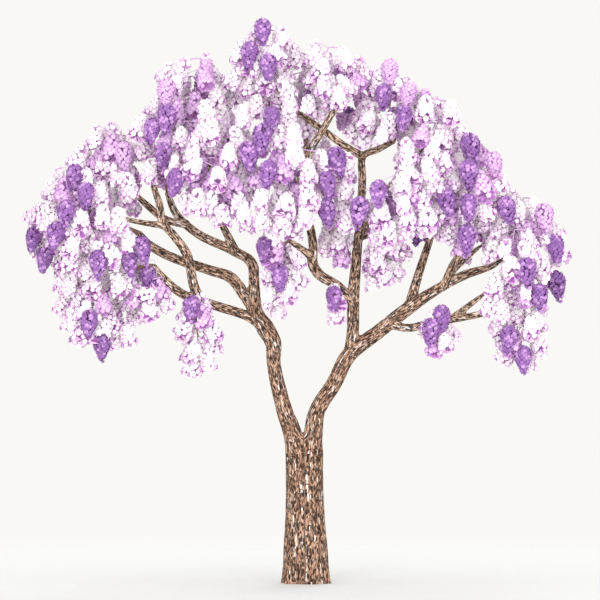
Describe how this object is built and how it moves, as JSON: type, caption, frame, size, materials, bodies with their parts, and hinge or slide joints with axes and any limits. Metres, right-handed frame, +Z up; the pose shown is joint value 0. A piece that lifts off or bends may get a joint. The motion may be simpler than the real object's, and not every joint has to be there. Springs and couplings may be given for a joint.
{
  "type": "jacaranda tree in full flower",
  "caption": "Broad flowering jacaranda: a forked trunk, spreading bare boughs, and masses of fine twigs hung with bell-shaped sprays of blossom.",
  "frame": {"origin": "middle of the flat cut under the trunk, at ground level", "axes": "+X to the right and -Y toward the viewer as the tree is seen from its front, +Z up the trunk"},
  "size_m": [10.0043, 7.6023, 9.9741],
  "materials": {
    "bark": "rough furrowed bark",
    "blossom": "soft matt petals on thin twigs"
  },
  "bodies": {
    "root": {"back_centre_bough": "bark", "back_left_bough": "bark", "back_right_bough": "bark", "back_top_bough": "bark", "bloom_back_centre": "blossom", "bloom_back_left": "blossom", "bloom_back_right": "blossom", "bloom_back_top": "blossom", "bloom_centre_inner": "blossom", "bloom_far_left": "blossom", "bloom_far_right": "blossom", "bloom_front_centre": "blossom", "bloom_front_left": "blossom", "bloom_front_right": "blossom", "bloom_hanging_centre": "blossom", "bloom_hanging_left": "blossom", "bloom_hanging_right": "blossom", "bloom_inner_left": "blossom", "bloom_left_back": "blossom", "bloom_left_front": "blossom", "bloom_left_high": "blossom", "bloom_left_inner": "blossom", "bloom_left_low": "blossom", "bloom_lower_right": "blossom", "bloom_right_back": "blossom", "bloom_right_back_high": "blossom", "bloom_right_front": "blossom", "bloom_right_inner": "blossom", "bloom_right_low": "blossom", "bloom_top": "blossom", "bloom_top_left": "blossom", "bloom_top_right": "blossom", "bloom_upper_left": "blossom", "bloom_upper_left_back": "blossom", "bloom_upper_left_front": "blossom", "bloom_upper_right": "blossom", "centre_stem": "bark", "fork_right_limb": "bark", "front_centre_bough": "bark", "front_left_bough": "bark", "front_right_bough": "bark", "hanging_right_bough": "bark", "high_left_limb": "bark", "inner_bough": "bark", "left_back_bough": "bark", "left_leader": "bark", "low_left_bough": "bark", "low_right_fork": "bark", "low_right_limb": "bark", "middle_left_bough": "bark", "outer_left_limb": "bark", "right_back_bough": "bark", "right_leader": "bark", "rising_left_limb": "bark", "short_inner_limb": "bark", "short_left_limb": "bark", "trunk": "bark", "upper_right_bough": "bark", "upright_right_limb": "bark", "window_limb": "bark"}
  },
  "joints": []
}
